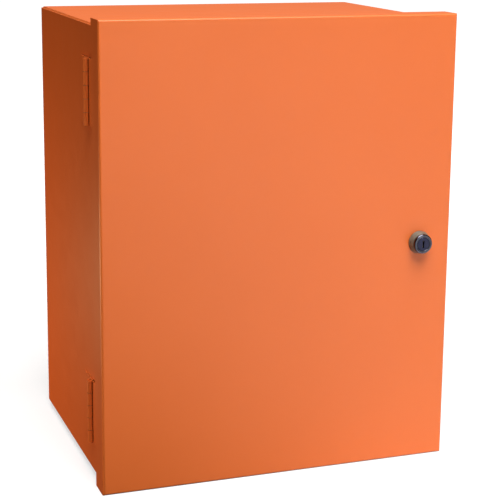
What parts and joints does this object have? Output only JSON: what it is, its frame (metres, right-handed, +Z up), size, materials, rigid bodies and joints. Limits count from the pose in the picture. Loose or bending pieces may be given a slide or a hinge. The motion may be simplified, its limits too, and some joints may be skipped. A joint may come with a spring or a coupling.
{
  "type": "wall-mount hinged enclosure",
  "caption": "Wall-mount sheet-steel box with a flanged door on side hinges, a round cam lock and a removable inner mounting panel.",
  "frame": {"origin": "centre of the four wall holes, on the outer face of the back", "axes": "+Z up, +Y into the wall, +X from the hinges to the lock, the door faces -Y"},
  "size_m": [0.4189, 0.3166, 0.523],
  "materials": {
    "powder_coat": "semi-gloss orange powder coat",
    "panel_white": "semi-gloss white enamel",
    "zinc": "zinc plated",
    "chrome": "nickel-chrome plated",
    "brass": "stamped brass"
  },
  "bodies": {
    "cabinet": {"cabinet_wrap": "powder_coat", "top_panel": "powder_coat", "bottom_panel": "powder_coat", "upper_hinge_body_leaf": "powder_coat", "lower_hinge_body_leaf": "powder_coat", "upper_hinge_pin": "powder_coat", "lower_hinge_pin": "powder_coat", "subpanel": "panel_white", "subpanel_studs": "zinc", "subpanel_spacers": "zinc", "subpanel_washers": "zinc", "subpanel_nuts": "zinc", "earth_stud": "zinc", "earth_washer": "zinc", "earth_nut": "zinc"},
    "door": {"door_panel": "powder_coat", "upper_hinge_door_leaf": "powder_coat", "lower_hinge_door_leaf": "powder_coat", "door_bond_stud": "zinc", "door_bond_washer": "zinc", "door_bond_nut": "zinc", "lock_collar": "chrome", "lock_housing": "chrome", "lock_washer": "zinc", "lock_nut": "zinc"},
    "lock_cylinder": {"lock_plug": "chrome", "lock_wafers": "brass", "lock_cam": "zinc", "cam_washer": "zinc", "cam_screw": "zinc"}
  },
  "joints": [
    {"name": "door_swing", "type": "hinge", "parent": "cabinet", "child": "door", "pos_m": [-0.20715, -0.25205, 0], "axis": [0, 0, -1], "range_deg": [0, 180]},
    {"name": "lock_turn", "type": "hinge", "parent": "door", "child": "lock_cylinder", "pos_m": [0.1697, -0.3048, 0], "axis": [0, -1, 0], "range_deg": [0, 90]}
  ]
}
